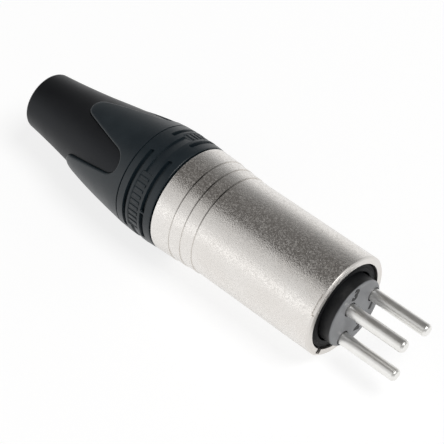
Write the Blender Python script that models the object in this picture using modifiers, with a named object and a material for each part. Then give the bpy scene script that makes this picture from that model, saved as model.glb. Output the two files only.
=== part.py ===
# Three-pin cable plug, lying on its side.
#
# A die-cast shell holds a contact carrier whose face and pins stand proud of the mouth. Behind
# it a slotted collet grips the cable, squeezed by a nut that screws into the back of the shell.
# The nut's four petals reach back over a soft tapered sleeve.
#
# Sizes are in millimetres and the meshes in metres. Every mesh has the plug's axis as its own Z,
# and the plug_axis empty lays that axis along world +X, towards the pins. A value that ends in
# _X is a place on that axis, with 0 at the mating face. Angles run round the axis in degrees,
# from world +Y towards world +Z.

import math

import bmesh
import bpy
from mathutils import Matrix

MM = 0.001

# Fits
GAP = 0.3            # between neighbouring pieces, radially and end to end
PIN_GAP = 0.2        # round each contact in the carrier
OVERCUT = 1.0        # how far a cutter runs past the face that it opens
MERGE = 0.00001      # merge distance of the modifiers, in metres

# Facets
SIDES = 24           # round the plug, with one flat facet at the bottom to rest on
PIN_SIDES = 16
ARC_STEP = 9.0       # degrees between the points of a cut that runs round the plug
CURVE_POINTS = 6     # points along each long curve of a turned outline
CORNER_POINTS = 4    # points along a rounded corner

# Contacts, whose standard pitch sets the size of all the rest
PIN_SPACING = 6.35     # the two short sides of the right-angled triangle of contacts
PIN_SHIFT = 1.6      # from the plug's axis to the middle of the triangle's long side
PIN_APEX_ANGLE = 122.0
PIN_R = 1.175
PIN_PROUD = 11.7     # from the mating face to the tip
PIN_TIP_LENGTH = 0.85
PIN_TIP_FLAT_R = 0.4
SHOULDER_STEP = 0.525
SHOULDER_DEPTH = 6.3  # of the shoulder inside the carrier, from the carrier's rear
CUP_LENGTH = 7.0     # from the carrier's rear to the solder cup's end
CUP_WALL = 0.55
CUP_BORE_DEPTH = 4.5
CUP_OPENING = 3.0

# Contact carrier
NOSE_WALL = 0.36     # outside the two outer contact bores
CARRIER_NOSE_LENGTH = 12.3
CARRIER_FLANGE_LENGTH = 7.7
CARRIER_EDGE = 0.25

# Front ring, between the carrier's nose and the mouth
RING_WALL = 1.33
RING_SETBACK = 0.35  # from the rim to the ring's front
RING_BEAD_HEIGHT = 0.2
RING_BEAD_WIDTH = 0.65
RING_TAB_LENGTH = 2.2

# Shell
FACE_PROUD = 2.1     # from the mouth's rim to the mating face
SHELL_LENGTH = 35.75
MOUTH_WALL = 1.32    # at the lip of the mouth
LIP_LENGTH = 2.2
RIM_ROUND = 0.3
BORE_WALL = 1.0      # along the barrel
THREAD_WALL = 0.45   # from the barrel's surface in to the threaded bore
THREAD_RUNOUT = 0.85  # from the nut's front end to the threaded bore's end
STEP_SETBACKS = (9.15, 6.55, 3.85)    # from the shell's rear to each step, front one first
STEP_RISE = 0.13
STEP_GROOVE = 0.13   # depth of the fine groove at the foot of each step
STEP_WIDTH = 0.16
BAND_TAPER = 0.07    # how much each band between two steps swells towards the rear
REAR_BAND_TAPER = 0.16
SHELL_REAR_ROUND = 0.3
KEYWAY_ANGLE = 222.0
KEYWAY_WIDTH = 1.4
KEYWAY_DEPTH = 0.55
RELIEF_ANGLES = (126.0, 150.0)      # shallow relief on the rim's outer edge
RELIEF_DEPTH = 0.25
RELIEF_LENGTH = 0.55

# Nut
SPIGOT_WALL = 1.3
SPIGOT_LENGTH = 8.8
SPIGOT_EDGE = 0.5
RING_STEP = 0.06     # how far the ring's edges stand out past the shell's rear
RING_BULGE = 0.15
RING_LENGTH = 8.35
RING_LAND = 3.6      # length of the ring's straight middle, longer than its ribs
RING_EDGE = 0.3
PARTING_DEPTH = 0.25
PARTING_WIDTH = 0.3
WEB_LENGTH = 2.0     # from the parting line to the back of the nut's web
PETAL_LENGTH = 16.1  # from the parting line to the petals' tips
PETAL_TAPER = 2.28   # from the ring's edge in to the petals' tips
PETAL_BULGE = 0.14
PETAL_WALL = 1.5
PETAL_COUNT = 4
RECESS_ANGLE = 138.0
RECESS_END_R = 2.65
RECESS_FLARE = 10.5  # degrees that each side leans out
PETAL_CORNER_R = 2.3
GRIP_SETS = 3
GRIP_ANGLE = 151.5   # middle of the first set
GRIP_ARC = 93.0      # of each set, of which there is one every third of a turn
SLOT_DEPTH = 0.8
REAR_SLOT_SETBACK = 6.35   # from the ring's front to the middle of the rear slot
REAR_SLOT_WIDTH = 0.5
FRONT_SLOT_SETBACK = 2.1
FRONT_SLOT_WIDTH = 0.65
BRIDGE_ANGLE = 12.5  # of the small bridge in the front slot, from the middle of its set
BRIDGE_ARC = 2.0
RIB_COUNT = 10
RIB_ARC = 3.0        # of each rib left standing between two pockets
RIB_HEIGHT = 0.3
RIB_LENGTH = 2.5
RIB_SETBACK = 4.2    # from the ring's front to the middle of the ribs

# Sleeve
RECESS_DEPTH = 0.46  # from the nut's face down to the sleeve, at the parting line
TIP_DEPTH = 0.68     # the same at the petals' tips
TAIL_LENGTH = 13.45   # from the petals' tips to the sleeve's end
TAIL_TAPER = 2.4    # from the petals' tips in to the sleeve's end
TAIL_SAG = 0.17
TAIL_ROUND = 0.65
TAIL_WALL = 1.52

# Collet
COLLAR_WALL = 1.25
COLLET_WALL = 0.8
JAW_TAPER = 1.0
JAW_INSET = 0.7      # from the back of the nut's web to the jaws' end
JAW_GRIP = 7.8       # length of the gripping bore
TOOTH_HEIGHT = 0.3
TOOTH_COUNT = 3
JAW_SLOT_WIDTH = 1.2
JAW_SLOT_LENGTH = 14.0
JAW_SLOT_ANGLE = 3.0

# Shell contact spring
SPRING_ANGLE = 312.0
SPRING_WIDTH = 2.4
SPRING_THICKNESS = 0.35
SPRING_TAG_LENGTH = 4.5
SPRING_FRONT_WALL = 0.6    # of the flange left in front of the slot
SPRING_REAR_SETBACK = 0.9  # from the flange's rear to the bend down to the tag

# Radii, from the contacts outwards and then in again to the cable
PIN_HALF_BASE = PIN_SPACING / math.sqrt(2.0)
SHOULDER_R = PIN_R + SHOULDER_STEP
CUP_BORE_R = SHOULDER_R - CUP_WALL
CARRIER_NOSE_R = math.hypot(PIN_SHIFT, PIN_HALF_BASE) + PIN_R + PIN_GAP + NOSE_WALL
MOUTH_R = CARRIER_NOSE_R + GAP + RING_WALL + GAP
BARREL_R = MOUTH_R + MOUTH_WALL
BORE_R = BARREL_R - BORE_WALL
KEYWAY_R = BORE_R + KEYWAY_DEPTH
THREAD_BORE_R = BARREL_R - THREAD_WALL
SHELL_REAR_R = (BARREL_R + len(STEP_SETBACKS) * STEP_RISE
                + (len(STEP_SETBACKS) - 1) * BAND_TAPER + REAR_BAND_TAPER)
SPIGOT_R = THREAD_BORE_R - GAP
SPIGOT_BORE_R = SPIGOT_R - SPIGOT_WALL
RING_EDGE_R = SHELL_REAR_R + RING_STEP
RING_R = RING_EDGE_R + RING_BULGE
PETAL_TIP_R = RING_EDGE_R - PETAL_TAPER
TAIL_END_R = PETAL_TIP_R - TAIL_TAPER
CABLE_BORE_R = TAIL_END_R - TAIL_WALL
COLLAR_BORE_R = BORE_R - GAP - COLLAR_WALL
COLLET_TUBE_R = SPIGOT_BORE_R - GAP
COLLET_HOLLOW_R = COLLET_TUBE_R - COLLET_WALL
JAW_TIP_R = COLLET_TUBE_R - JAW_TAPER
JAW_BORE_R = CABLE_BORE_R
SPRING_SLOT_R = COLLAR_BORE_R - SPRING_THICKNESS - 2 * GAP

# Places along the axis, from the mating face back
RIM_X = -FACE_PROUD
SHELL_REAR_X = RIM_X - SHELL_LENGTH
NUT_FACE_X = SHELL_REAR_X - GAP
SPIGOT_FRONT_X = NUT_FACE_X + SPIGOT_LENGTH
THREAD_BORE_X = SPIGOT_FRONT_X + THREAD_RUNOUT
RING_FRONT_X = RIM_X - RING_SETBACK
RING_REAR_X = -CARRIER_NOSE_LENGTH + GAP
CARRIER_REAR_X = -CARRIER_NOSE_LENGTH - CARRIER_FLANGE_LENGTH
SPRING_SLOT_X = -CARRIER_NOSE_LENGTH - SPRING_FRONT_WALL
COLLET_FRONT_X = CARRIER_REAR_X - GAP
COLLAR_REAR_X = THREAD_BORE_X + GAP
PARTING_X = NUT_FACE_X - RING_LENGTH
WEB_X = PARTING_X - WEB_LENGTH
JAW_END_X = WEB_X + JAW_INSET
SLEEVE_FRONT_X = WEB_X - GAP
RECESS_X = SLEEVE_FRONT_X
PETAL_TIP_X = PARTING_X - PETAL_LENGTH
SLEEVE_END_X = PETAL_TIP_X - TAIL_LENGTH

OUTSIDE_R = RING_R + OVERCUT


def clear_scene():
    for obj in list(bpy.data.objects):
        bpy.data.objects.remove(obj)


def new_collection(name):
    collection = bpy.data.collections.new(name)
    bpy.context.scene.collection.children.link(collection)
    return collection


def new_material(name, colour, roughness, metallic):
    material = bpy.data.materials.new(name)
    material.use_nodes = True
    shader = material.node_tree.nodes["Principled BSDF"]
    shader.inputs["Base Color"].default_value = (*colour, 1.0)
    shader.inputs["Roughness"].default_value = roughness
    shader.inputs["Metallic"].default_value = metallic
    material.diffuse_color = (*colour, 1.0)
    return material


def turn_to(angle):
    """Rotation that carries a feature built on local +X to an angle round the plug."""
    return math.radians(angle + 90.0)


def arc(centre, radius, start, end, count=CORNER_POINTS):
    """Points on a circle, from one angle to another in degrees."""
    points = []
    for i in range(count):
        a = math.radians(start + (end - start) * i / (count - 1))
        points.append((centre[0] + radius * math.cos(a), centre[1] + radius * math.sin(a)))
    return points


def place(obj, parent, collection):
    collection.objects.link(obj)
    obj.parent = parent
    return obj


class Plug:
    """The collections and the axis that every object of the plug shares."""

    def __init__(self):
        self.parts = new_collection("cable_plug")
        self.cutters = new_collection("cutters")
        self.axis = bpy.data.objects.new("plug_axis", None)
        self.axis.rotation_euler = (0.0, math.radians(90.0), 0.0)
        self.parts.objects.link(self.axis)

    def keep(self, obj, material):
        """Makes an object a piece of the plug."""
        obj.data.materials.append(material)
        return place(obj, self.axis, self.parts)

    def tool(self, obj):
        """Makes an object a cutter."""
        obj.hide_render = True
        obj.display_type = 'WIRE'
        return place(obj, self.axis, self.cutters)


def turned(name, outline, closed=True, sides=SIDES):
    """Turns an outline of (place, radius) points about the axis."""
    start = math.pi / sides
    mesh = bpy.data.meshes.new(name)
    verts = [(r * MM * math.cos(start), r * MM * math.sin(start), x * MM) for x, r in outline]
    edges = [(i, i + 1) for i in range(len(verts) - 1)]
    if closed:
        edges.append((len(verts) - 1, 0))
    mesh.from_pydata(verts, edges, [])
    obj = bpy.data.objects.new(name, mesh)
    screw = obj.modifiers.new("turn", 'SCREW')
    screw.angle = math.tau
    screw.steps = sides
    screw.render_steps = sides
    screw.use_merge_vertices = True
    screw.merge_threshold = MERGE
    return obj


def block(name, radii, width, places, angle=0.0):
    """A box from one radius to another and one place to another, at an angle round the plug."""
    mesh = bpy.data.meshes.new(name)
    bm = bmesh.new()
    bmesh.ops.create_cube(bm, size=1.0)
    size = (radii[1] - radii[0], width, places[1] - places[0])
    middle = ((radii[0] + radii[1]) / 2, 0.0, (places[0] + places[1]) / 2)
    bmesh.ops.scale(bm, vec=[abs(s) * MM for s in size], verts=bm.verts)
    bmesh.ops.translate(bm, vec=[m * MM for m in middle], verts=bm.verts)
    bm.to_mesh(mesh)
    bm.free()
    obj = bpy.data.objects.new(name, mesh)
    obj.rotation_euler.z = turn_to(angle)
    return obj


def arc_blocks(name, pieces):
    """Curved bars round the plug, each given by its radii, places and angles."""
    mesh = bpy.data.meshes.new(name)
    bm = bmesh.new()
    for radii, places, angles in pieces:
        span = angles[1] - angles[0]
        steps = max(1, round(span / ARC_STEP))
        a = turn_to(angles[0])
        corners = [(radii[0], places[0]), (radii[1], places[0]),
                   (radii[1], places[1]), (radii[0], places[1])]
        verts = [bm.verts.new((r * MM * math.cos(a), r * MM * math.sin(a), x * MM))
                 for r, x in corners]
        face = bm.faces.new(verts)
        geometry = [face, *face.edges, *verts]
        bmesh.ops.spin(bm, geom=geometry, cent=(0, 0, 0), axis=(0, 0, 1),
                       angle=math.radians(span), steps=steps, use_duplicate=False)
    bmesh.ops.recalc_face_normals(bm, faces=bm.faces)
    bm.to_mesh(mesh)
    bm.free()
    return bpy.data.objects.new(name, mesh)


def flat_prism(name, outline, radii, angle):
    """A flat outline of (place, sideways) points, extruded outwards between two radii."""
    curve = bpy.data.curves.new(name + "_outline", 'CURVE')
    curve.dimensions = '2D'
    curve.fill_mode = 'BOTH'
    curve.extrude = (radii[1] - radii[0]) / 2 * MM
    spline = curve.splines.new('POLY')
    spline.points.add(len(outline) - 1)
    for point, (x, y) in zip(spline.points, outline):
        point.co = (x * MM, y * MM, 0.0, 1.0)
    spline.use_cyclic_u = True
    flat = bpy.data.objects.new(name + "_outline", curve)
    bpy.context.scene.collection.objects.link(flat)
    evaluated = flat.evaluated_get(bpy.context.evaluated_depsgraph_get())
    mesh = bpy.data.meshes.new_from_object(evaluated)
    bpy.data.objects.remove(flat)
    middle = (radii[0] + radii[1]) / 2 * MM
    stand = Matrix(((0, 0, 1, middle), (0, 1, 0, 0), (1, 0, 0, 0), (0, 0, 0, 1)))
    bm = bmesh.new()
    bm.from_mesh(mesh)
    bmesh.ops.transform(bm, matrix=stand, verts=bm.verts)
    bmesh.ops.remove_doubles(bm, verts=bm.verts, dist=MERGE)
    bmesh.ops.recalc_face_normals(bm, faces=bm.faces)
    bm.to_mesh(mesh)
    bm.free()
    obj = bpy.data.objects.new(name, mesh)
    obj.rotation_euler.z = turn_to(angle)
    return obj


def cut(obj, tool, operation='DIFFERENCE'):
    boolean = obj.modifiers.new(tool.name, 'BOOLEAN')
    boolean.operation = operation
    boolean.solver = 'EXACT'
    boolean.object = tool


def key(plug, name, places):
    """A key that slides in the shell's keyway."""
    inner = MOUTH_R - 2 * GAP
    outer = KEYWAY_R - GAP
    return plug.tool(block(name, (inner, outer), KEYWAY_WIDTH - 2 * GAP, places, KEYWAY_ANGLE))


def shell_outline():
    """The shell's section, from the lip over the barrel and its three steps to the rear bore."""
    points = [(RIM_X, MOUTH_R), (RIM_X, BARREL_R - RIM_ROUND),
              (RIM_X - RIM_ROUND / 3, BARREL_R - RIM_ROUND / 3), (RIM_X - RIM_ROUND, BARREL_R)]
    radius = BARREL_R
    for i, setback in enumerate(STEP_SETBACKS):
        x = SHELL_REAR_X + setback
        points.append((x + STEP_WIDTH, radius))
        points.append((x, radius - STEP_GROOVE))
        radius += STEP_RISE
        points.append((x - STEP_WIDTH / 2, radius))
        last = i == len(STEP_SETBACKS) - 1
        radius += REAR_BAND_TAPER if last else BAND_TAPER
    points.append((SHELL_REAR_X + SHELL_REAR_ROUND, radius))
    points.append((SHELL_REAR_X, radius - SHELL_REAR_ROUND))
    points.append((SHELL_REAR_X, THREAD_BORE_R))
    points.append((THREAD_BORE_X, THREAD_BORE_R))
    points.append((THREAD_BORE_X, BORE_R))
    points.append((RIM_X - LIP_LENGTH, BORE_R))
    points.append((RIM_X - LIP_LENGTH, MOUTH_R))
    return points


def make_shell(plug):
    """Die-cast shell with a keyway along its bore that opens through the rim."""
    metal = new_material("satin_nickel", (0.78, 0.77, 0.75), 0.32, 1.0)
    shell = plug.keep(turned("shell", shell_outline()), metal)
    keyway = block("keyway", (MOUTH_R - OVERCUT, KEYWAY_R), KEYWAY_WIDTH,
                   (THREAD_BORE_X - OVERCUT, RIM_X + OVERCUT), KEYWAY_ANGLE)
    cut(shell, plug.tool(keyway))
    relief = arc_blocks("rim_relief", [((BARREL_R - RELIEF_DEPTH, OUTSIDE_R),
                                        (RIM_X - RELIEF_LENGTH, RIM_X + OVERCUT), RELIEF_ANGLES)])
    cut(shell, plug.tool(relief))


def pin_places():
    """Sideways places of the three contacts: the two ends of the long side, then the apex."""
    return [(-PIN_SHIFT, -PIN_HALF_BASE), (-PIN_SHIFT, PIN_HALF_BASE),
            (PIN_HALF_BASE - PIN_SHIFT, 0.0)]


def make_carrier(plug):
    """Grey contact carrier: a nose that stands out of the mouth and a keyed flange behind it."""
    plastic = new_material("grey_nylon", (0.22, 0.225, 0.235), 0.5, 0.0)
    flange_r = BORE_R - GAP
    nose = CARRIER_NOSE_R
    outline = [(0.0, 0.0), (0.0, nose - CARRIER_EDGE), (-CARRIER_EDGE, nose),
               (-CARRIER_NOSE_LENGTH, nose), (-CARRIER_NOSE_LENGTH, flange_r),
               (CARRIER_REAR_X, flange_r), (CARRIER_REAR_X, 0.0)]
    carrier = plug.keep(turned("contact_carrier", outline, closed=False), plastic)
    cut(carrier, key(plug, "carrier_key", (CARRIER_REAR_X, -CARRIER_NOSE_LENGTH)), 'UNION')
    hole = PIN_R + PIN_GAP
    seat = SHOULDER_R + PIN_GAP
    seat_x = CARRIER_REAR_X + SHOULDER_DEPTH + GAP
    for number, (along, across) in enumerate(pin_places(), start=1):
        bore_outline = [(OVERCUT, 0.0), (OVERCUT, hole), (seat_x, hole), (seat_x, seat),
                        (CARRIER_REAR_X - OVERCUT, seat), (CARRIER_REAR_X - OVERCUT, 0.0)]
        bore = turned(f"contact_bore_{number}", bore_outline, closed=False, sides=PIN_SIDES)
        set_off_axis(bore, along, across)
        cut(carrier, plug.tool(bore))
    slot = block("spring_slot", (SPRING_SLOT_R, BORE_R), SPRING_WIDTH + 2 * GAP,
                 (CARRIER_REAR_X - OVERCUT, SPRING_SLOT_X), SPRING_ANGLE)
    cut(carrier, plug.tool(slot))


def set_off_axis(obj, along, across):
    """Moves an object off the axis: along the triangle's apex direction, and across it."""
    a = turn_to(PIN_APEX_ANGLE)
    x = along * math.cos(a) - across * math.sin(a)
    y = along * math.sin(a) + across * math.cos(a)
    obj.location = (x * MM, y * MM, 0.0)
    obj.rotation_euler.z = math.atan2(y, x)


def make_front_ring(plug):
    """Black ring that fills the mouth round the nose, with a tab in the keyway."""
    rubber = new_material("black_liner", (0.012, 0.012, 0.013), 0.45, 0.0)
    inner = CARRIER_NOSE_R + GAP
    nose_r = MOUTH_R - GAP
    body_r = BORE_R - GAP
    step_x = RIM_X - LIP_LENGTH - GAP
    bead = inner + RING_BEAD_WIDTH
    outline = [(RING_FRONT_X + RING_BEAD_HEIGHT, inner), (RING_FRONT_X + RING_BEAD_HEIGHT, bead),
               (RING_FRONT_X, bead + RING_BEAD_HEIGHT), (RING_FRONT_X, nose_r), (step_x, nose_r),
               (step_x, body_r), (RING_REAR_X, body_r), (RING_REAR_X, inner)]
    ring = plug.keep(turned("front_ring", outline), rubber)
    cut(ring, key(plug, "ring_tab", (RING_FRONT_X - RING_TAB_LENGTH, RING_FRONT_X)), 'UNION')


def make_pins(plug):
    """Three turned contacts: domed tip, shank, shoulder and an open solder cup."""
    silver = new_material("silver_plate", (0.80, 0.78, 0.74), 0.22, 1.0)
    tip_start = PIN_PROUD - PIN_TIP_LENGTH
    shoulder_x = CARRIER_REAR_X + SHOULDER_DEPTH
    cup_x = CARRIER_REAR_X - CUP_LENGTH
    outline = [(PIN_PROUD, 0.0)]
    for i in range(CORNER_POINTS):
        a = math.radians(90.0 * i / (CORNER_POINTS - 1))
        outline.append((tip_start + PIN_TIP_LENGTH * math.cos(a),
                        PIN_TIP_FLAT_R + (PIN_R - PIN_TIP_FLAT_R) * math.sin(a)))
    outline += [(shoulder_x, PIN_R), (shoulder_x, SHOULDER_R), (cup_x, SHOULDER_R),
                (cup_x, CUP_BORE_R), (cup_x + CUP_BORE_DEPTH, CUP_BORE_R),
                (cup_x + CUP_BORE_DEPTH + CUP_BORE_R / 2, 0.0)]
    for number, (along, across) in enumerate(pin_places(), start=1):
        pin = plug.keep(turned(f"pin_{number}", outline, closed=False, sides=PIN_SIDES), silver)
        set_off_axis(pin, along, across)
        mouth = plug.tool(block(f"cup_mouth_{number}", (CUP_BORE_R / 2, SHOULDER_R + OVERCUT),
                                2 * SHOULDER_R + OVERCUT, (cup_x - OVERCUT, cup_x + CUP_OPENING)))
        set_off_axis(mouth, along, across)
        cut(pin, mouth)


def make_spring(plug):
    """Bent strip in the carrier's slot that joins the shell to a solder tag."""
    brass = new_material("tinned_strip", (0.70, 0.68, 0.62), 0.35, 1.0)
    low = SPRING_SLOT_R + GAP + SPRING_THICKNESS / 2
    high = BORE_R - GAP - SPRING_THICKNESS / 2
    front = SPRING_SLOT_X - GAP
    rear = CARRIER_REAR_X + SPRING_REAR_SETBACK
    crown = (front + rear) / 2
    path = [(front, (low + high) / 2), ((front + crown) / 2, high - SPRING_THICKNESS / 2),
            (crown, high), ((rear + crown) / 2, high - SPRING_THICKNESS / 2),
            (rear, low + SPRING_THICKNESS), (rear - SPRING_THICKNESS, low),
            (CARRIER_REAR_X - SPRING_TAG_LENGTH, low)]
    mesh = bpy.data.meshes.new("shell_contact")
    bm = bmesh.new()
    half = SPRING_WIDTH / 2 * MM
    for side in (-half, half):
        for x, r in path:
            bm.verts.new((r * MM, side, x * MM))
    bm.verts.ensure_lookup_table()
    count = len(path)
    for i in range(count - 1):
        bm.faces.new([bm.verts[j] for j in (i, i + 1, count + i + 1, count + i)])
    bm.to_mesh(mesh)
    bm.free()
    spring = plug.keep(bpy.data.objects.new("shell_contact", mesh), brass)
    spring.rotation_euler.z = turn_to(SPRING_ANGLE)
    strip = spring.modifiers.new("strip", 'SOLIDIFY')
    strip.thickness = SPRING_THICKNESS * MM
    strip.offset = 0.0
    strip.use_even_offset = True


def collet_outline():
    """The collet's section: keyed collar, tube, and tapered jaws with a toothed bore."""
    grip_x = JAW_END_X + JAW_GRIP
    pitch = JAW_GRIP / (TOOTH_COUNT + 1)
    points = [(COLLET_FRONT_X, COLLAR_BORE_R), (COLLET_FRONT_X, BORE_R - GAP),
              (COLLAR_REAR_X, BORE_R - GAP), (COLLAR_REAR_X, COLLET_TUBE_R),
              (NUT_FACE_X, COLLET_TUBE_R),
              (JAW_END_X, JAW_TIP_R), (JAW_END_X, JAW_BORE_R)]
    for i in range(TOOTH_COUNT):
        tooth_x = JAW_END_X + pitch * (i + 1)
        points.append((tooth_x - pitch / 2, JAW_BORE_R))
        points.append((tooth_x, JAW_BORE_R - TOOTH_HEIGHT))
    points.append((grip_x, JAW_BORE_R))
    points.append((grip_x + (COLLET_HOLLOW_R - JAW_BORE_R), COLLET_HOLLOW_R))
    points.append((COLLAR_REAR_X, COLLET_HOLLOW_R))
    points.append((COLLAR_REAR_X, COLLAR_BORE_R))
    return points


def make_collet(plug):
    """Slotted collet that grips the cable, keyed in the shell so that it can't turn."""
    acetal = new_material("white_acetal", (0.62, 0.62, 0.58), 0.45, 0.0)
    collet = plug.keep(turned("collet", collet_outline()), acetal)
    cut(collet, key(plug, "collet_key", (COLLAR_REAR_X, COLLET_FRONT_X)), 'UNION')
    for i in range(2):
        slot = block(f"jaw_slot_{i + 1}", (-OUTSIDE_R, OUTSIDE_R), JAW_SLOT_WIDTH,
                     (JAW_END_X - OVERCUT, JAW_END_X + JAW_SLOT_LENGTH), JAW_SLOT_ANGLE + 90.0 * i)
        cut(collet, plug.tool(slot))


def petal_radius(x):
    """Outer radius of the petals at a place, slightly bowed between parting line and tip."""
    t = (PARTING_X - x) / PETAL_LENGTH
    return RING_EDGE_R + (PETAL_TIP_R - RING_EDGE_R) * t + 4 * PETAL_BULGE * t * (1 - t)


def along_curve(start, end, count=CURVE_POINTS):
    return [start + (end - start) * i / (count - 1) for i in range(count)]


def recess_outline(shrink=0.0):
    """The U between two petals, laid flat, and the rounded petal tips on both sides of it."""
    flare = math.radians(RECESS_FLARE)
    end_r = RECESS_END_R - shrink
    corner_r = PETAL_CORNER_R + shrink
    end_x = RECESS_X - RECESS_END_R
    corner_x = PETAL_TIP_X + PETAL_CORNER_R
    reach = RECESS_END_R + PETAL_CORNER_R
    side = (end_x + reach * math.sin(flare) - corner_x) / math.cos(flare)
    corner_y = reach * math.cos(flare) + side * math.sin(flare)
    upper = arc((end_x, 0.0), end_r, 0.0, 90.0 - RECESS_FLARE, 2 * CORNER_POINTS - 1)
    upper += arc((corner_x, corner_y), corner_r, 270.0 - RECESS_FLARE, 180.0)
    back_x = corner_x - corner_r
    upper += [(back_x, OUTSIDE_R), (back_x - 2 * PETAL_CORNER_R, OUTSIDE_R)]
    lower = [(x, -y) for x, y in reversed(upper[1:])]
    return upper + lower


def recess_prisms(plug, name, shrink=0.0):
    """One prism for each recess, set round the plug."""
    prisms = []
    for i in range(PETAL_COUNT):
        prism = flat_prism(f"{name}_{i + 1}", recess_outline(shrink), (CABLE_BORE_R, OUTSIDE_R),
                           RECESS_ANGLE + 360.0 * i / PETAL_COUNT)
        prisms.append(plug.tool(prism))
    return prisms


def nut_outline():
    """The nut's section: spigot, ring, skirt that becomes the petals, web and jaw cone."""
    front_x = SPIGOT_FRONT_X
    middle_x = NUT_FACE_X - RING_LENGTH / 2
    cone_x = NUT_FACE_X - GAP
    points = [(front_x, SPIGOT_BORE_R), (front_x, SPIGOT_R - SPIGOT_EDGE),
              (front_x - SPIGOT_EDGE, SPIGOT_R), (NUT_FACE_X, SPIGOT_R),
              (NUT_FACE_X, RING_EDGE_R - RING_EDGE), (NUT_FACE_X - RING_EDGE, RING_EDGE_R),
              (middle_x + RING_LAND / 2, RING_R), (middle_x - RING_LAND / 2, RING_R),
              (PARTING_X + PARTING_WIDTH / 2, RING_EDGE_R), (PARTING_X, RING_EDGE_R - PARTING_DEPTH)]
    skirt = along_curve(PARTING_X - PARTING_WIDTH / 2, PETAL_TIP_X - PETAL_CORNER_R)
    points += [(x, petal_radius(x)) for x in skirt]
    inside = along_curve(PETAL_TIP_X - PETAL_CORNER_R, WEB_X, CORNER_POINTS)
    points += [(x, petal_radius(x) - PETAL_WALL) for x in inside]
    points += [(WEB_X, JAW_TIP_R + GAP), (cone_x, SPIGOT_BORE_R)]
    return points


def grip_bars():
    """Cuts round the nut's ring: two interrupted slots with a row of pockets between them."""
    bars = []
    floor = RING_R - SLOT_DEPTH
    for i in range(GRIP_SETS):
        middle = GRIP_ANGLE + 360.0 * i / GRIP_SETS
        start = middle - GRIP_ARC / 2
        end = middle + GRIP_ARC / 2
        bridge = middle + BRIDGE_ANGLE
        rear_x = NUT_FACE_X - REAR_SLOT_SETBACK
        front_x = NUT_FACE_X - FRONT_SLOT_SETBACK
        rear = (rear_x - REAR_SLOT_WIDTH / 2, rear_x + REAR_SLOT_WIDTH / 2)
        front = (front_x - FRONT_SLOT_WIDTH / 2, front_x + FRONT_SLOT_WIDTH / 2)
        bars.append(((floor, OUTSIDE_R), rear, (start, end)))
        bars.append(((floor, OUTSIDE_R), front, (start, bridge - BRIDGE_ARC / 2)))
        bars.append(((floor, OUTSIDE_R), front, (bridge + BRIDGE_ARC / 2, end)))
        rib_x = NUT_FACE_X - RIB_SETBACK
        ribs = (rib_x - RIB_LENGTH / 2, rib_x + RIB_LENGTH / 2)
        pitch = GRIP_ARC / RIB_COUNT
        for k in range(RIB_COUNT):
            pocket = start + pitch * k + RIB_ARC / 2
            bars.append(((RING_R - RIB_HEIGHT, OUTSIDE_R), ribs, (pocket, pocket + pitch - RIB_ARC)))
    return bars


def make_nut(plug):
    """Hard nut: a threaded spigot, a grip ring, and four petals over the sleeve."""
    hard = new_material("blue_grey_nylon", (0.020, 0.028, 0.036), 0.42, 0.0)
    nut = plug.keep(turned("nut", nut_outline()), hard)
    for prism in recess_prisms(plug, "recess"):
        cut(nut, prism)
    cut(nut, plug.tool(arc_blocks("grip_cuts", grip_bars())))


def tongue_radius(x):
    """Outer radius of the sleeve between the petals, a little below their faces."""
    t = (PARTING_X - x) / PETAL_LENGTH
    return petal_radius(x) - RECESS_DEPTH - (TIP_DEPTH - RECESS_DEPTH) * t


def sleeve_outline():
    """The sleeve's section: under the petals it follows them, behind them it tapers."""
    points = [(SLEEVE_FRONT_X, CABLE_BORE_R)]
    points += [(x, tongue_radius(x)) for x in along_curve(SLEEVE_FRONT_X, PETAL_TIP_X)]
    round_x = SLEEVE_END_X + TAIL_ROUND
    start_r = tongue_radius(PETAL_TIP_X)
    for x in along_curve(PETAL_TIP_X, round_x)[1:-1]:
        t = (PETAL_TIP_X - x) / (PETAL_TIP_X - round_x)
        points.append((x, start_r + (TAIL_END_R - start_r) * t - 4 * TAIL_SAG * t * (1 - t)))
    points += arc((round_x, TAIL_END_R - TAIL_ROUND), TAIL_ROUND, 90.0, 180.0)
    points.append((SLEEVE_END_X, CABLE_BORE_R))
    return points


def make_sleeve(plug):
    """Soft sleeve with a pocket for each petal and a raised tongue in each recess."""
    soft = new_material("soft_black", (0.014, 0.014, 0.015), 0.55, 0.0)
    sleeve = plug.keep(turned("sleeve", sleeve_outline()), soft)
    front_x = SLEEVE_FRONT_X + OVERCUT
    places = along_curve(front_x, PETAL_TIP_X - 2 * GAP, CORNER_POINTS)
    outline = [(x, OUTSIDE_R) for x in (front_x, PETAL_TIP_X - 2 * GAP)]
    outline += [(x, petal_radius(x) - PETAL_WALL - GAP) for x in reversed(places)]
    pockets = plug.tool(turned("petal_pockets", outline))
    for prism in recess_prisms(plug, "tongue", GAP):
        cut(pockets, prism)
    cut(sleeve, pockets)


def build():
    clear_scene()
    plug = Plug()
    make_shell(plug)
    make_carrier(plug)
    make_front_ring(plug)
    make_pins(plug)
    make_spring(plug)
    make_collet(plug)
    make_nut(plug)
    make_sleeve(plug)


build()
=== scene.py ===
import math

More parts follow.
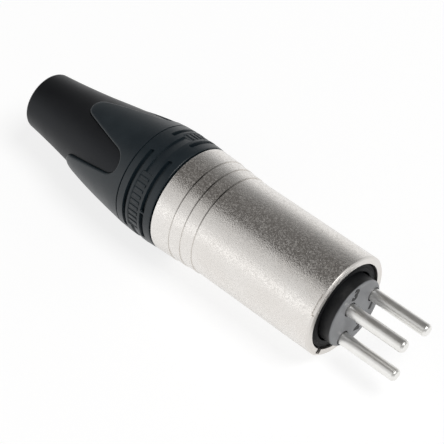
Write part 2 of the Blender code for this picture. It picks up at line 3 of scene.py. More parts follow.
import bmesh
import bpy
import numpy as np
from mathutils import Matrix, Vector


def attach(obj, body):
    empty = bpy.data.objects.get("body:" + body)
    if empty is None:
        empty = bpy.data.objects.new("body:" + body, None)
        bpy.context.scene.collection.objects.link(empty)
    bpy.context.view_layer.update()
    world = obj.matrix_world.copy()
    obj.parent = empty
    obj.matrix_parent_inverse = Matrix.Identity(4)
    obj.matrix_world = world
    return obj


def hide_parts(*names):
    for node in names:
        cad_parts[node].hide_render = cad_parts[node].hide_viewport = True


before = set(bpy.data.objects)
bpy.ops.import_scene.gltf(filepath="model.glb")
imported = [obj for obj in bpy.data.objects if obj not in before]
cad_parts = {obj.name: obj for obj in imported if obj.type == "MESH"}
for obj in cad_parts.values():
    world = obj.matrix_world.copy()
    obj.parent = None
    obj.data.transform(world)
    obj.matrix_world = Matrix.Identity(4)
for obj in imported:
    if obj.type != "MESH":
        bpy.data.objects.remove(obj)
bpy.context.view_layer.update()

# Sizes are in millimetres, and a round form's size is its radius. The plug's axis is X. Places
# on it count from the mating face towards the contact tips, and angles run round it in degrees,
# from +Y towards +Z.


# Shell
# Die-cast zinc with a satin nickel plate whose skin is finely pebbled. The steps at the rear
# are turned, the rim is polished bright, and a keyway for the inner parts runs along the bore.

FIT = 0.3                   # clearance between neighbouring pieces
RIM = -2.1
LIP_LENGTH = 2.2
LIP_BORE = 8.43
BORE = 8.75
BARREL = 9.75
THREAD_BORE = 9.3
THREAD_BORE_FRONT = -28.5
SHELL_REAR = -37.95
REAR_RADIUS = 10.44
STEPS = (-28.7, -31.3, -33.8)
STEP_RISE = 0.13
SWELLS = (0.07, 0.07, 0.0)  # how much the band behind each step widens to the rear
FOOT_WIDTH = 0.07           # of the corner in front of each step, which is painted dark as shade
PAINTED_SHADE_ARC = (78.0, 128.0)   # the upper side, where the painted shade in those corners is strongest
PAINTED_SHADE_FADE = 40.0
POLISHED_LENGTH = 0.45
RELIEF_ARC = (126.0, 150.0)     # of a shallow cut into the rim's outer edge
RELIEF_RADIUS = 9.5
RELIEF_LENGTH = 0.55
KEYWAY_AT = 222.0           # its middle, as an angle round the axis
KEYWAY_WIDTH = 1.4
KEYWAY_RADIUS = 9.3
CUT_WALL = 0.3              # width of a cut's side wall, in degrees


def rounded(corners, closed=True, support=0.1, longest=2.0):
    """An outline of (place, radius, fillet) corners with its fillets turned into short arcs."""
    points = []
    count = len(corners)
    for i, corner in enumerate(corners):
        here = Vector(corner[:2])
        fillet = corner[2] if len(corner) > 2 else 0.0
        if fillet == 0.0:
            points.append(here)
            continue
        before = (Vector(corners[i - 1][:2]) - here).normalized()
        after = (Vector(corners[(i + 1) % count][:2]) - here).normalized()
        half = before.angle(after) / 2
        reach = fillet / math.tan(half)
        centre = here + (before + after).normalized() * fillet / math.sin(half)
        start = here + before * reach - centre
        turn = start.angle_signed(here + after * reach - centre)
        steps = max(3, round(abs(turn) / math.radians(15)))
        for k in range(steps + 1):
            a = -turn * k / steps
            points.append(centre + Vector((start.x * math.cos(a) - start.y * math.sin(a),
                                           start.x * math.sin(a) + start.y * math.cos(a))))
    finished = []
    for i, here in enumerate(points):
        finished.append(tuple(here))
        if i == len(points) - 1 and not closed:
            break
        span = points[(i + 1) % len(points)] - here
        if span.length > 4 * support:
            pieces = max(1, math.ceil((span.length - 2 * support) / longest))
            along = [support + (span.length - 2 * support) * k / pieces for k in range(pieces + 1)]
            finished += [tuple(here + span.normalized() * a) for a in along]
    return finished


def columns(edges, even=192):
    """Angles all round the plug, closer together where a cut's wall stands."""
    angles = [360.0 * i / even for i in range(even)]
    for edge in edges:
        angles = [a for a in angles if abs((a - edge + 180) % 360 - 180) > CUT_WALL]
        angles += [edge - CUT_WALL / 2, edge, edge + CUT_WALL / 2]
    return np.unique(np.round(np.mod(angles, 360.0), 4))


def plateau(value, low, high, wall):
    """1 between low and high and 0 outside, with a sloping wall of that width on each edge."""
    rise = (value - low) / wall + 0.5
    fall = (high - value) / wall + 0.5
    return np.clip(np.minimum(rise, fall), 0.0, 1.0)


def skin(name, rings, closed=True, marks=()):
    """A solid's surface through rings of (places, radii, angles), one after the other.

    marks holds (attribute, ring numbers, amounts round the ring) for a material to read.
    """
    count = max(np.size(part) for ring in rings for part in ring)
    verts = []
    for place, radius, angle in rings:
        a = np.radians(np.broadcast_to(angle, count))
        r = np.broadcast_to(radius, count)
        verts.append(np.stack([np.broadcast_to(place, count), r * np.cos(a), r * np.sin(a)], 1))
    verts = np.concatenate(verts) * 0.001
    faces = []
    for i in range(len(rings) if closed else len(rings) - 1):
        low = i * count
        high = (i + 1) % len(rings) * count
        for j in range(count):
            k = (j + 1) % count
            faces.append((low + j, low + k, high + k, high + j))
    mesh = bpy.data.meshes.new(name)
    mesh.from_pydata(verts.tolist(), [], faces)
    for attribute, chosen, amount in marks:
        values = np.zeros((len(rings), count))
        values[chosen] = amount
        stored = mesh.attributes.new(attribute, 'FLOAT', 'POINT')
        stored.data.foreach_set("value", values.ravel())
    return finished_piece(name, mesh)


def finished_piece(name, mesh, sharp=38.0):
    """Merges doubles, turns faces outwards and shades a mesh smooth between its sharp edges."""
    bm = bmesh.new()
    bm.from_mesh(mesh)
    bmesh.ops.remove_doubles(bm, verts=bm.verts, dist=2e-7)
    bmesh.ops.recalc_face_normals(bm, faces=bm.faces)
    bm.to_mesh(mesh)
    bm.free()
    mesh.polygons.foreach_set("use_smooth", [True] * len(mesh.polygons))
    mesh.set_sharp_from_angle(angle=math.radians(sharp))
    piece = bpy.data.objects.new(name, mesh)
    bpy.context.scene.collection.objects.link(piece)
    return piece


def speckle_group():
    """Fine pebbling, facets and slow blotches, for any cast, moulded or plated skin."""
    group = bpy.data.node_groups.new("speckled_skin", 'ShaderNodeTree')
    for name, value in (("Grain Size", 0.2), ("Blotch Size", 3.0)):
        socket = group.interface.new_socket(name, in_out='INPUT', socket_type='NodeSocketFloat')
        socket.default_value = value
    for name in ("Grain", "Facet", "Blotch"):
        group.interface.new_socket(name, in_out='OUTPUT', socket_type='NodeSocketFloat')
    nodes = group.nodes
    inside = nodes.new('NodeGroupInput')
    outside = nodes.new('NodeGroupOutput')
    place = nodes.new('ShaderNodeTexCoord')
    for output, size, kind in (("Grain", "Grain Size", 'ShaderNodeTexNoise'),
                               ("Facet", "Grain Size", 'ShaderNodeTexVoronoi'),
                               ("Blotch", "Blotch Size", 'ShaderNodeTexNoise')):
        scale = nodes.new('ShaderNodeMath')
        scale.operation = 'DIVIDE'
        scale.inputs[0].default_value = 1000.0
        group.links.new(inside.outputs[size], scale.inputs[1])
        texture = nodes.new(kind)
        group.links.new(place.outputs["Object"], texture.inputs["Vector"])
        group.links.new(scale.outputs[0], texture.inputs["Scale"])
        if output == "Facet":
            random = nodes.new('ShaderNodeSeparateColor')
            group.links.new(texture.outputs["Color"], random.inputs["Color"])
            group.links.new(random.outputs["Red"], outside.inputs[output])
        else:
            texture.inputs["Detail"].default_value = 1.0 if output == "Grain" else 3.0
            group.links.new(texture.outputs["Fac"], outside.inputs[output])
    return group


SPECKLE = speckle_group()


def skin_material(name, colours, roughness, grain, blotch, bump, metallic=0.0, depth=0.03):
    """A Principled material with pebbled relief and slightly uneven colour and gloss."""
    material = bpy.data.materials.new(name)
    material.use_nodes = True
    nodes = material.node_tree.nodes
    links = material.node_tree.links
    shader = nodes["Principled BSDF"]
    shader.inputs["Metallic"].default_value = metallic
    speckle = nodes.new('ShaderNodeGroup')
    speckle.node_tree = SPECKLE
    speckle.inputs["Grain Size"].default_value = grain
    speckle.inputs["Blotch Size"].default_value = blotch
    # most of the blotches' noise lies between 0.3 and 0.7
    tint = nodes.new('ShaderNodeValToRGB')
    tint.color_ramp.elements[0].position = 0.35
    tint.color_ramp.elements[1].position = 0.65
    for element, colour in zip(tint.color_ramp.elements, colours):
        element.color = (*colour, 1.0)
    links.new(speckle.outputs["Blotch"], tint.inputs["Fac"])
    links.new(tint.outputs["Color"], shader.inputs["Base Color"])
    gloss = nodes.new('ShaderNodeMapRange')
    gloss.inputs["From Min"].default_value = 0.3
    gloss.inputs["From Max"].default_value = 0.7
    gloss.inputs["To Min"].default_value = roughness[0]
    gloss.inputs["To Max"].default_value = roughness[1]
    links.new(speckle.outputs["Blotch"], gloss.inputs["Value"])
    links.new(gloss.outputs["Result"], shader.inputs["Roughness"])
    relief = nodes.new('ShaderNodeBump')
    relief.inputs["Strength"].default_value = bump
    relief.inputs["Distance"].default_value = depth * 0.001
    links.new(speckle.outputs["Grain"], relief.inputs["Height"])
    links.new(relief.outputs["Normal"], shader.inputs["Normal"])
    return material


shell_corners = [(RIM, LIP_BORE, 0.08), (RIM, RELIEF_RADIUS, 0.04), (RIM - 0.25, BARREL, 0.15),
                 (RIM - RELIEF_LENGTH, BARREL), (RIM - RELIEF_LENGTH - 0.07, BARREL)]
radius = BARREL
for step, swell in zip(STEPS, SWELLS):
    shell_corners += [(step + FOOT_WIDTH + 0.05, radius), (step + FOOT_WIDTH, radius),
                      (step, radius), (step, radius + STEP_RISE, 0.04)]
    radius += STEP_RISE + swell
shell_corners += [(SHELL_REAR, REAR_RADIUS, 0.08), (SHELL_REAR, THREAD_BORE, 0.1),
                  (THREAD_BORE_FRONT, THREAD_BORE), (THREAD_BORE_FRONT, BORE),
                  (RIM - LIP_LENGTH, BORE), (RIM - LIP_LENGTH, LIP_BORE)]
keyway_half = math.degrees(math.asin(KEYWAY_WIDTH / 2 / BORE))
keyway_arc = (KEYWAY_AT - keyway_half, KEYWAY_AT + keyway_half)
shell_angles = columns((*keyway_arc, *RELIEF_ARC))
keyway = plateau(shell_angles, *keyway_arc, CUT_WALL)
relief_band = plateau(shell_angles, *RELIEF_ARC, CUT_WALL)
# the painted shade in the steps' corners is full over this arc and fades out beside it
painted_shade_side = plateau(shell_angles, *PAINTED_SHADE_ARC, PAINTED_SHADE_FADE)
shell_rings = []
painted_shade_rings = []
turned = []
for x, r in rounded(shell_corners):
    outside = r > THREAD_BORE + 0.1
    at_step = outside and any(abs(x - step) < FOOT_WIDTH + 0.01 for step in STEPS)
    if at_step:
        painted_shade_rings.append(len(shell_rings))
    if at_step or x > RIM - POLISHED_LENGTH:
        turned.append(len(shell_rings))
    radii = np.full(len(shell_angles), r)
    if r < KEYWAY_RADIUS and x > THREAD_BORE_FRONT - 0.1:
        radii = radii + keyway * (KEYWAY_RADIUS - r)
    if r > RELIEF_RADIUS and x > RIM - RELIEF_LENGTH - 0.05:
        radii = radii - relief_band * (r - RELIEF_RADIUS)
    shell_rings.append((x, radii, shell_angles))
shell = skin("shell_body", shell_rings,
             marks=(("grime", painted_shade_rings, painted_shade_side), ("turned", turned, 1.0)))

NICKEL_GRAIN = 0.2
TURNED_ROUGHNESS = 0.45
# near-black colour for the painted shade in the steps' corners
PAINTED_SHADE_COLOUR = (0.03, 0.028, 0.026, 1.0)
nickel = skin_material("satin_nickel", ((0.785, 0.755, 0.72), (0.815, 0.79, 0.76)), (0.08, 0.46),
                       grain=NICKEL_GRAIN, blotch=9.0, bump=1.0, metallic=1.0, depth=0.035)
nodes, links = nickel.node_tree.nodes, nickel.node_tree.links
shader = nodes["Principled BSDF"]
gloss = next(node for node in nodes if node.bl_idname == 'ShaderNodeMapRange')
gloss.inputs["From Min"].default_value = 0.0
gloss.inputs["From Max"].default_value = 1.0
facets = nodes.new('ShaderNodeGroup')
facets.node_tree = SPECKLE
facets.inputs["Grain Size"].default_value = NICKEL_GRAIN
links.new(facets.outputs["Facet"], gloss.inputs["Value"])
turned_mark = nodes.new('ShaderNodeAttribute')
turned_mark.attribute_name = "turned"
relief = next(node for node in nodes if node.bl_idname == 'ShaderNodeBump')
for socket, smooth in ((relief.inputs["Height"], 0.5),
                       (shader.inputs["Roughness"], TURNED_ROUGHNESS)):
    calmed = nodes.new('ShaderNodeMix')
    calmed.inputs["B"].default_value = smooth
    links.new(turned_mark.outputs["Fac"], calmed.inputs["Factor"])
    links.new(socket.links[0].from_socket, calmed.inputs["A"])
    links.new(calmed.outputs["Result"], socket)
# painted shade: in the steps' corners the base colour is mixed towards near-black, by the mask
# stored on the shell
grime = nodes.new('ShaderNodeAttribute')
grime.attribute_name = "grime"
painted_shade_mix = nodes.new('ShaderNodeMix')
painted_shade_mix.data_type = 'RGBA'
painted_shade_mix.inputs["B"].default_value = PAINTED_SHADE_COLOUR
links.new(grime.outputs["Fac"], painted_shade_mix.inputs["Factor"])
links.new(shader.inputs["Base Color"].links[0].from_socket, painted_shade_mix.inputs["A"])
links.new(painted_shade_mix.outputs["Result"], shader.inputs["Base Color"])
shell.data.materials.append(nickel)
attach(shell, "plug_body")
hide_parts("shell")


# Contact carrier
# Glass-filled nylon, moulded in one piece, with a grey face; behind it the body is painted
# near-black as shade on the nose's side. The face carries a small raised numeral beside each
# contact, which stands in a bore with a thin gap round it.

HALF_BASE = 4.49            # half the long side of the contacts' right-angled triangle
PIN_SHIFT = 1.6             # from the plug's axis to the middle of the long side
PIN_AT = [(-PIN_SHIFT, -HALF_BASE), (-PIN_SHIFT, HALF_BASE), (HALF_BASE - PIN_SHIFT, 0.0)]
APEX_ANGLE = math.radians(122.0)    # where the triangle's right-angled corner points
PIN = 1.175
PIN_GAP = 0.2
SHOULDER = 1.7
SHOULDER_FRONT = -13.7
NOSE = 6.5
FLANGE = 8.45
FLANGE_FRONT = -12.3
CARRIER_REAR = -20.0
GREY_DEPTH = 0.2            # of the grey face, before the body painted dark as shade starts
NOSE_SHADE_COLOUR = (0.005, 0.0055, 0.0065, 1.0)
OVERCUT = 1.0               # how far a cutter runs past the face that it opens


def off_axis(along, across):
    """(y, z) of a point given along the triangle's apex direction and across it."""
    return (along * math.cos(APEX_ANGLE) - across * math.sin(APEX_ANGLE),
            along * math.sin(APEX_ANGLE) + across * math.cos(APEX_ANGLE))


def revolve(corners, middle=(0.0, 0.0), even=64):
    """Rings for a turned piece whose outline starts and ends on its own axis."""
    rings = []
    a = np.radians(np.arange(even) * 360.0 / even)
    for x, r in corners:
        y = middle[0] + r * np.cos(a)
        z = middle[1] + r * np.sin(a)
        rings.append((x, np.hypot(y, z), np.degrees(np.arctan2(z, y))))
    return rings


def cut_away(piece, cutters):
    """Cuts the cutters out of a piece and leaves a plain mesh."""
    for cutter in cutters:
        boolean = piece.modifiers.new("cut", 'BOOLEAN')
        boolean.solver = 'EXACT'
        boolean.object = cutter
    evaluated = piece.evaluated_get(bpy.context.evaluated_depsgraph_get())
    mesh = bpy.data.meshes.new_from_object(evaluated)
    name = piece.name
    for obj in [piece, *cutters]:
        bpy.data.objects.remove(obj)
    return finished_piece(name, mesh)


carrier_corners = rounded(
    [(0.0, 0.0), (0.0, NOSE, 0.3), (FLANGE_FRONT, NOSE), (FLANGE_FRONT, FLANGE, 0.1),
     (CARRIER_REAR, FLANGE, 0.1), (CARRIER_REAR, 0.0)], closed=False)
carrier = skin("carrier_body", revolve(carrier_corners, even=128), closed=False)
bore_corners = [(OVERCUT, 0.0), (OVERCUT, PIN + PIN_GAP), (SHOULDER_FRONT + FIT, PIN + PIN_GAP),
                (SHOULDER_FRONT + FIT, SHOULDER + PIN_GAP),
                (CARRIER_REAR - OVERCUT, SHOULDER + PIN_GAP), (CARRIER_REAR - OVERCUT, 0.0)]
bores = []
for along, across in PIN_AT:
    bores.append(skin("bore", revolve(bore_corners, off_axis(along, across)), closed=False))
carrier = cut_away(carrier, bores)
carrier_grey = skin_material("grey_nylon", ((0.215, 0.22, 0.23), (0.25, 0.255, 0.265)),
                             (0.42, 0.5), grain=0.12, blotch=2.0, bump=0.25)
nodes, links = carrier_grey.node_tree.nodes, carrier_grey.node_tree.links
where = nodes.new('ShaderNodeTexCoord')
split = nodes.new('ShaderNodeSeparateXYZ')
links.new(where.outputs["Object"], split.inputs[0])
face_mask = nodes.new('ShaderNodeMapRange')
face_mask.inputs["From Min"].default_value = -(GREY_DEPTH + 0.1) * 0.001
face_mask.inputs["From Max"].default_value = -(GREY_DEPTH - 0.1) * 0.001
links.new(split.outputs["X"], face_mask.inputs["Value"])
# painted shade: behind the grey face the body takes a near-black colour, for the shade on the
# nose's side
nose_shade_mix = nodes.new('ShaderNodeMix')
nose_shade_mix.data_type = 'RGBA'
nose_shade_mix.inputs["A"].default_value = NOSE_SHADE_COLOUR
links.new(face_mask.outputs["Result"], nose_shade_mix.inputs["Factor"])
base_colour = nodes["Principled BSDF"].inputs["Base Color"]
links.new(base_colour.links[0].from_socket, nose_shade_mix.inputs["B"])
links.new(nose_shade_mix.outputs["Result"], base_colour)
carrier.data.materials.append(carrier_grey)
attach(carrier, "plug_body")
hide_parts("contact_carrier")

NUMERALS = (("1", 4.3, -1.15), ("2", 1.1, -3.9), ("3", -0.35, 5.0))
NUMERAL_SIZE = 3.0
NUMERAL_STROKE = 0.13       # added to the outline all round
NUMERAL_HEIGHT = 0.06       # above the face
NUMERAL_ROOT = 0.02         # sunk in the face
LEAN = math.radians(-28.0)
numeral_ink = skin_material("numeral_ink", ((0.010, 0.010, 0.011), (0.016, 0.016, 0.017)),
                            (0.5, 0.6), grain=0.1, blotch=1.0, bump=0.2)
for number, y, z in NUMERALS:
    letter = bpy.data.curves.new("numeral", 'FONT')
    letter.body = number
    letter.size = NUMERAL_SIZE
    letter.offset = NUMERAL_STROKE
    letter.extrude = (NUMERAL_HEIGHT + NUMERAL_ROOT) / 2
    letter.align_x = 'CENTER'
    letter.align_y = 'CENTER'
    flat = bpy.data.objects.new("numeral", letter)
    bpy.context.scene.collection.objects.link(flat)
    evaluated = flat.evaluated_get(bpy.context.evaluated_depsgraph_get())
    mesh = bpy.data.meshes.new_from_object(evaluated)
    bpy.data.objects.remove(flat)
    for vert in mesh.vertices:
        across, up, out = vert.co
        out += (NUMERAL_HEIGHT - NUMERAL_ROOT) / 2
        vert.co = Vector((out, y + across * math.cos(LEAN) - up * math.sin(LEAN),
                          z + across * math.sin(LEAN) + up * math.cos(LEAN))) * 0.001
    numeral = finished_piece(f"numeral_{number}", mesh)
    numeral.data.materials.append(numeral_ink)
    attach(numeral, "plug_body")


# Front ring
# Black moulded ring that fills the mouth round the carrier's nose. A bead runs round its inner
# edge, and a tab on it sits in the shell's keyway.

BEAD_FRONT = -2.3
BEAD = 7.45
RING_FRONT = -2.5
TAB_REAR = -4.6
TAB_HALF = 2.75             # half the tab's width, in degrees

ring_corners = [(BEAD_FRONT, NOSE + FIT, 0.15), (BEAD_FRONT, BEAD, 0.2),
                (RING_FRONT, BEAD + 0.2, 0.1), (RING_FRONT, LIP_BORE - FIT, 0.08),
                (TAB_REAR, LIP_BORE - FIT), (TAB_REAR, BORE - FIT),
                (FLANGE_FRONT + FIT, BORE - FIT), (FLANGE_FRONT + FIT, NOSE + FIT)]
tab_arc = (KEYWAY_AT - TAB_HALF, KEYWAY_AT + TAB_HALF)
ring_angles = columns(tab_arc)
tab = plateau(ring_angles, *tab_arc, CUT_WALL)
ring_rings = []
for x, r in rounded(ring_corners):
    radii = np.full(len(ring_angles), r)
    if r > LIP_BORE - FIT - 0.1 and x > TAB_REAR - 0.1:
        radii = radii + tab * (KEYWAY_RADIUS - FIT - r)
    ring_rings.append((x, radii, ring_angles))
ring = skin("ring_body", ring_rings)
matt_black = skin_material("black_liner", ((0.006, 0.006, 0.007), (0.009, 0.009, 0.010)),
                           (0.5, 0.6), grain=0.1, blotch=2.0, bump=0.2)
matt_black.node_tree.nodes["Principled BSDF"].inputs["Specular IOR Level"].default_value = 0.12
ring.data.materials.append(matt_black)
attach(ring, "plug_body")
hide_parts("front_ring")


# Contacts
# Turned brass pins with a polished silver plate. Each has a domed tip, a shoulder inside the
# carrier, and a solder cup whose open side faces outwards.

PIN_TIP = 11.7
CUP_REAR = -27.0
CUP_BORE = 1.15
CUP_DEPTH = 4.5
CUP_OPENING = 3.0           # the length over which the cup's side is open

silver = skin_material("silver_plate", ((0.84, 0.83, 0.80), (0.90, 0.89, 0.87)), (0.33, 0.38),
                       grain=0.25, blotch=2.0, bump=0.06, metallic=1.0)
pin_corners = rounded(
    [(PIN_TIP, 0.0), (PIN_TIP, 0.9, 0.12), (PIN_TIP - 0.35, 1.15, 0.15),
     (PIN_TIP - 0.6, PIN, 0.1), (SHOULDER_FRONT, PIN), (SHOULDER_FRONT, SHOULDER, 0.08),
     (CUP_REAR, SHOULDER, 0.08), (CUP_REAR, CUP_BORE, 0.05), (CUP_REAR + CUP_DEPTH, CUP_BORE),
     (CUP_REAR + CUP_DEPTH + 0.6, 0.0)], closed=False)
for number, (along, across) in enumerate(PIN_AT, start=1):
    y, z = off_axis(along, across)
    pin = skin(f"pin_{number}_body", revolve(pin_corners, (y, z), even=48), closed=False)
    outward = Vector((0.0, y, z)).normalized()
    sideways = Vector((1.0, 0.0, 0.0)).cross(outward)
    mesh = bpy.data.meshes.new("cup_mouth")
    corners = []
    for x in (CUP_REAR - OVERCUT, CUP_REAR + CUP_OPENING):
        for out in (CUP_BORE / 2, SHOULDER + 1.3):
            for side in (-SHOULDER - 0.5, SHOULDER + 0.5):
                corners.append((Vector((x, y, z)) + outward * out + sideways * side) * 0.001)
    mesh.from_pydata(corners, [], [(0, 1, 3, 2), (4, 6, 7, 5), (0, 2, 6, 4), (1, 5, 7, 3),
                                   (0, 4, 5, 1), (2, 3, 7, 6)])
    pin = cut_away(pin, [finished_piece("mouth", mesh)])
    pin.data.materials.append(silver)
    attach(pin, "plug_body")
    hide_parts(f"pin_{number}")


# Shell contact and collet
# A tinned strip in the carrier joins the shell to a solder tag. The slotted collet, moulded in
# pale acetal, grips the cable when the nut squeezes its jaws. Both keep their CAD shapes.

tinned = skin_material("tinned_strip", ((0.66, 0.64, 0.60), (0.74, 0.72, 0.68)), (0.28, 0.36),
                       grain=0.2, blotch=1.5, bump=0.1, metallic=1.0)
acetal = skin_material("pale_acetal", ((0.58, 0.58, 0.54), (0.64, 0.64, 0.60)), (0.38, 0.46),
                       grain=0.15, blotch=3.0, bump=0.15)
for node, material in (("shell_contact", tinned), ("collet", acetal)):
    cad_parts[node].data.materials.clear()
    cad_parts[node].data.materials.append(material)


# Nut
# Hard blue-grey nylon, moulded in one piece: a threaded spigot inside the shell, a grip ring
# with two rows of slots, and four petals that reach back over the sleeve.

NUT_FACE = -38.35
PARTING = -46.5             # the groove between the grip ring and the petals
WEB = -48.5                 # rear face of the wall that the petals stand on
PETAL_TIP = -62.6
PETAL_RADIUS = 10.5         # at the parting line
PETAL_TAPER = 2.28
PETAL_BOW = 0.56
PETAL_WALL = 1.5
PETAL_BEVEL = 0.34
PETAL_PITCH = 90.0          # degrees
RECESS_AT = 138.0           # the middle of one of the recesses between the petals
SPIGOT = 8.45
SPIGOT_BORE = 7.7
SPIGOT_FRONT = -29.35
CONE_START = -38.45
CONE_END_RADIUS = 6.7
THREAD_PITCH = 1.5
THREAD_HEIGHT = 0.5
THREAD_ROOT = 5 / 16        # half the width of the thread at its root, in pitches
THREAD_FLANK = 25 / 128     # width of one sloping side, in pitches
THREAD_FRONT = -29.5
THREAD_REAR = -37.9
THREAD_RUNOUT = 0.7
RING_EDGE = 10.46
RING_LAND = (-40.5, -44.1)  # the straight part of the grip ring, at its full radius
RING_RADIUS = 10.61
PARTING_DEPTH = 0.3
SETS = (151.5, 271.5, 31.5)     # the middles of the three sets of slots
SET_ARC = (-46.5, 46.5)     # this arc and the two below count from the middle of a set
BRIDGE_ARC = (11.5, 13.5)
BAND_ARC = (-25.5, 38.5)
FRONT_SLOT = (-40.6, -39.9)
REAR_SLOT = (-44.85, -44.2)
SLOT_DEPTH = 0.7
SLOT_WALL = 0.22
SLOT_END = 0.6              # width of a slot's end wall, in degrees
BAND_PLACES = (-43.6, -41.3)
BAND_DEPTH = 0.22
BAND_WALL = 0.16
LEDGE_AT = -43.0            # a low step round the ring, outside the bands of ribs
LEDGE_END = -41.2
LEDGE_WALL = 0.06
LEDGE_SLOPE = 1.7
LEDGE_DEPTH = 0.3


def petal_radius(x):
    """Outer radius of the petals, slightly bowed from the parting line to their tips."""
    t = (PARTING - x) / (PARTING - PETAL_TIP)
    return PETAL_RADIUS - PETAL_TAPER * t + PETAL_BOW * t * (1 - t)


def length_along(x, y):
    """Length along a line of points, counted from its first one."""
    return np.concatenate([[0.0], np.cumsum(np.hypot(np.diff(x), np.diff(y)))])


def petal_boundary(samples=90):
    """(angles, places) of the petals' edge over one quarter turn, centred on a recess.

    The recess ends in an arc, its sides flare, and the petals' corners are arcs as well.
    """
    flare = math.radians(10.5)
    end_x, end_r = -51.45, 2.65
    corner_x, corner_r = -60.3, 2.3
    reach = end_r + corner_r
    side = (end_x + reach * math.sin(flare) - corner_x) / math.cos(flare)
    corner_y = reach * math.cos(flare) + side * math.sin(flare)
    turn = np.linspace(0.0, math.pi / 2 - flare, 200)
    points = [np.stack([end_x + end_r * np.cos(turn), end_r * np.sin(turn)], 1)]
    turn = np.linspace(1.5 * math.pi - flare, math.pi, 200)
    points.append(np.stack([corner_x + corner_r * np.cos(turn),
                            corner_y + corner_r * np.sin(turn)], 1))
    x, y = np.concatenate(points).T
    length = length_along(x, y)
    fine = np.linspace(0.0, length[-1], 2000)
    x, y = np.interp(fine, length, x), np.interp(fine, length, y)
    angle = np.degrees(np.arcsin(y / petal_radius(x)))
    inside = angle < PETAL_PITCH / 2
    x, angle = np.append(x[inside], x[inside][-1]), np.append(angle[inside], PETAL_PITCH / 2)
    x = np.concatenate([x[::-1], x[1:]])
    angle = np.concatenate([-angle[::-1], angle[1:]])
    arc = np.radians(angle) * petal_radius(x)
    length = length_along(x, arc)
    even = np.linspace(0.0, length[-1], samples + 1)
    x, angle = np.interp(even, length, x)[:-1], np.interp(even, length, angle)[:-1]
    # the petals' tips, where two corner arcs meet, are softened
    near_tip = np.abs(angle) > 36.0
    for softening in range(12):
        softer = (np.roll(x, 1) + 2 * x + np.roll(x, -1)) / 4
        x = np.where(near_tip, softer, x)
    return angle, x


def all_round(angles, places, extra=()):
    """The boundary repeated round the plug, with its outward direction, at every column."""
    recesses = [RECESS_AT + PETAL_PITCH * i for i in range(-2, 4)]
    wide = np.concatenate([angles + recess for recess in recesses])
    deep = np.tile(places, len(recesses))
    grid = np.unique(np.round(np.mod(np.concatenate([wide, np.array(extra, float)]), 360.0), 4))
    gaps = np.diff(np.append(grid, grid[0] + 360.0))
    grid = grid[gaps > 0.03]
    x = np.interp(grid, wide, deep)
    along = np.gradient(deep)
    across = np.gradient(np.unwrap(np.radians(wide))) * petal_radius(deep)
    size = np.hypot(along, across)
    away = np.interp(grid, wide, across / size), np.interp(grid, wide, -along / size)
    return grid, x, away


def shifted(angle, place, away, distance):
    """The boundary moved by a distance, towards the petals if it is positive."""
    return (place + away[0] * distance,
            angle + np.degrees(away[1] * distance / petal_radius(place)))


slot_ends = [middle + end for middle in SETS for end in (*SET_ARC, *BRIDGE_ARC, *BAND_ARC)]
close_columns = [end + step for end in slot_ends for step in (-0.45, -0.15, 0.15, 0.45)]
nut_angles, edge_x, edge_away = all_round(*petal_boundary(), close_columns)


def carved(x):
    """How deep the grip ring is cut at a place on the axis, for every column."""
    ledge = np.full(len(nut_angles), LEDGE_DEPTH)
    ledge *= np.clip((x - LEDGE_AT) / LEDGE_WALL + 0.5, 0, 1)
    ledge *= np.clip((LEDGE_END - x) / LEDGE_SLOPE, 0, 1)
    depth = np.zeros(len(nut_angles))
    for middle in SETS:
        turn = (nut_angles - middle + 180.0) % 360.0 - 180.0
        whole = plateau(turn, *SET_ARC, SLOT_END)
        bridge = plateau(turn, *BRIDGE_ARC, SLOT_END)
        band = plateau(turn, *BAND_ARC, SLOT_END)
        front_slot = SLOT_DEPTH * whole * (1 - bridge) * plateau(x, *FRONT_SLOT, SLOT_WALL)
        rear_slot = SLOT_DEPTH * whole * plateau(x, *REAR_SLOT, SLOT_WALL)
        rib_floor = BAND_DEPTH * band * plateau(x, *BAND_PLACES, BAND_WALL)
        depth = np.maximum.reduce([depth, front_slot, rear_slot, rib_floor])
        ledge *= 1 - band
    return np.maximum(depth, ledge)


nut_rings = [(SPIGOT_FRONT, SPIGOT_BORE + 0.05, nut_angles),
             (SPIGOT_FRONT, SPIGOT - 0.05, nut_angles)]
for x in np.arange(THREAD_FRONT - 0.1, THREAD_REAR - 0.1, -THREAD_PITCH / 8):
    phase = (x / THREAD_PITCH - nut_angles / 360.0) % 1.0
    crest = np.clip((THREAD_ROOT - np.abs(phase - 0.5)) / THREAD_FLANK, 0.0, 1.0)
    runout = min(1.0, (THREAD_FRONT - x) / THREAD_RUNOUT, (x - THREAD_REAR) / THREAD_RUNOUT)
    nut_rings.append((x, SPIGOT + THREAD_HEIGHT * crest * max(0.0, runout), nut_angles))
nut_rings.append((NUT_FACE, SPIGOT, nut_angles))
parting_floor = PETAL_RADIUS - PARTING_DEPTH
ring_outline = rounded(
    [(NUT_FACE, SPIGOT + 0.15), (NUT_FACE, RING_EDGE, 0.2), (RING_LAND[0], RING_RADIUS),
     (RING_LAND[1], RING_RADIUS), (PARTING + 0.1, PETAL_RADIUS, 0.07),
     (PARTING + 0.06, parting_floor), (PARTING - 0.08, parting_floor)],
    closed=False, longest=0.6)
wall_places = [edge + step for edge in (*REAR_SLOT, *BAND_PLACES, LEDGE_AT, *FRONT_SLOT)
               for step in (-0.14, -0.11, -0.08, -0.03, 0.0, 0.03, 0.08, 0.11, 0.14)]
even_places = np.arange(NUT_FACE - 0.55, PARTING + 0.7, -0.35)
middle_places = sorted({*np.round(even_places, 3), *np.round(wall_places, 3)}, reverse=True)
outline_x, outline_r = np.array(ring_outline).T
front = [(x, r) for x, r in ring_outline if x > NUT_FACE - 0.25]
middle_part = [(x, float(np.interp(-x, -outline_x, outline_r))) for x in middle_places]
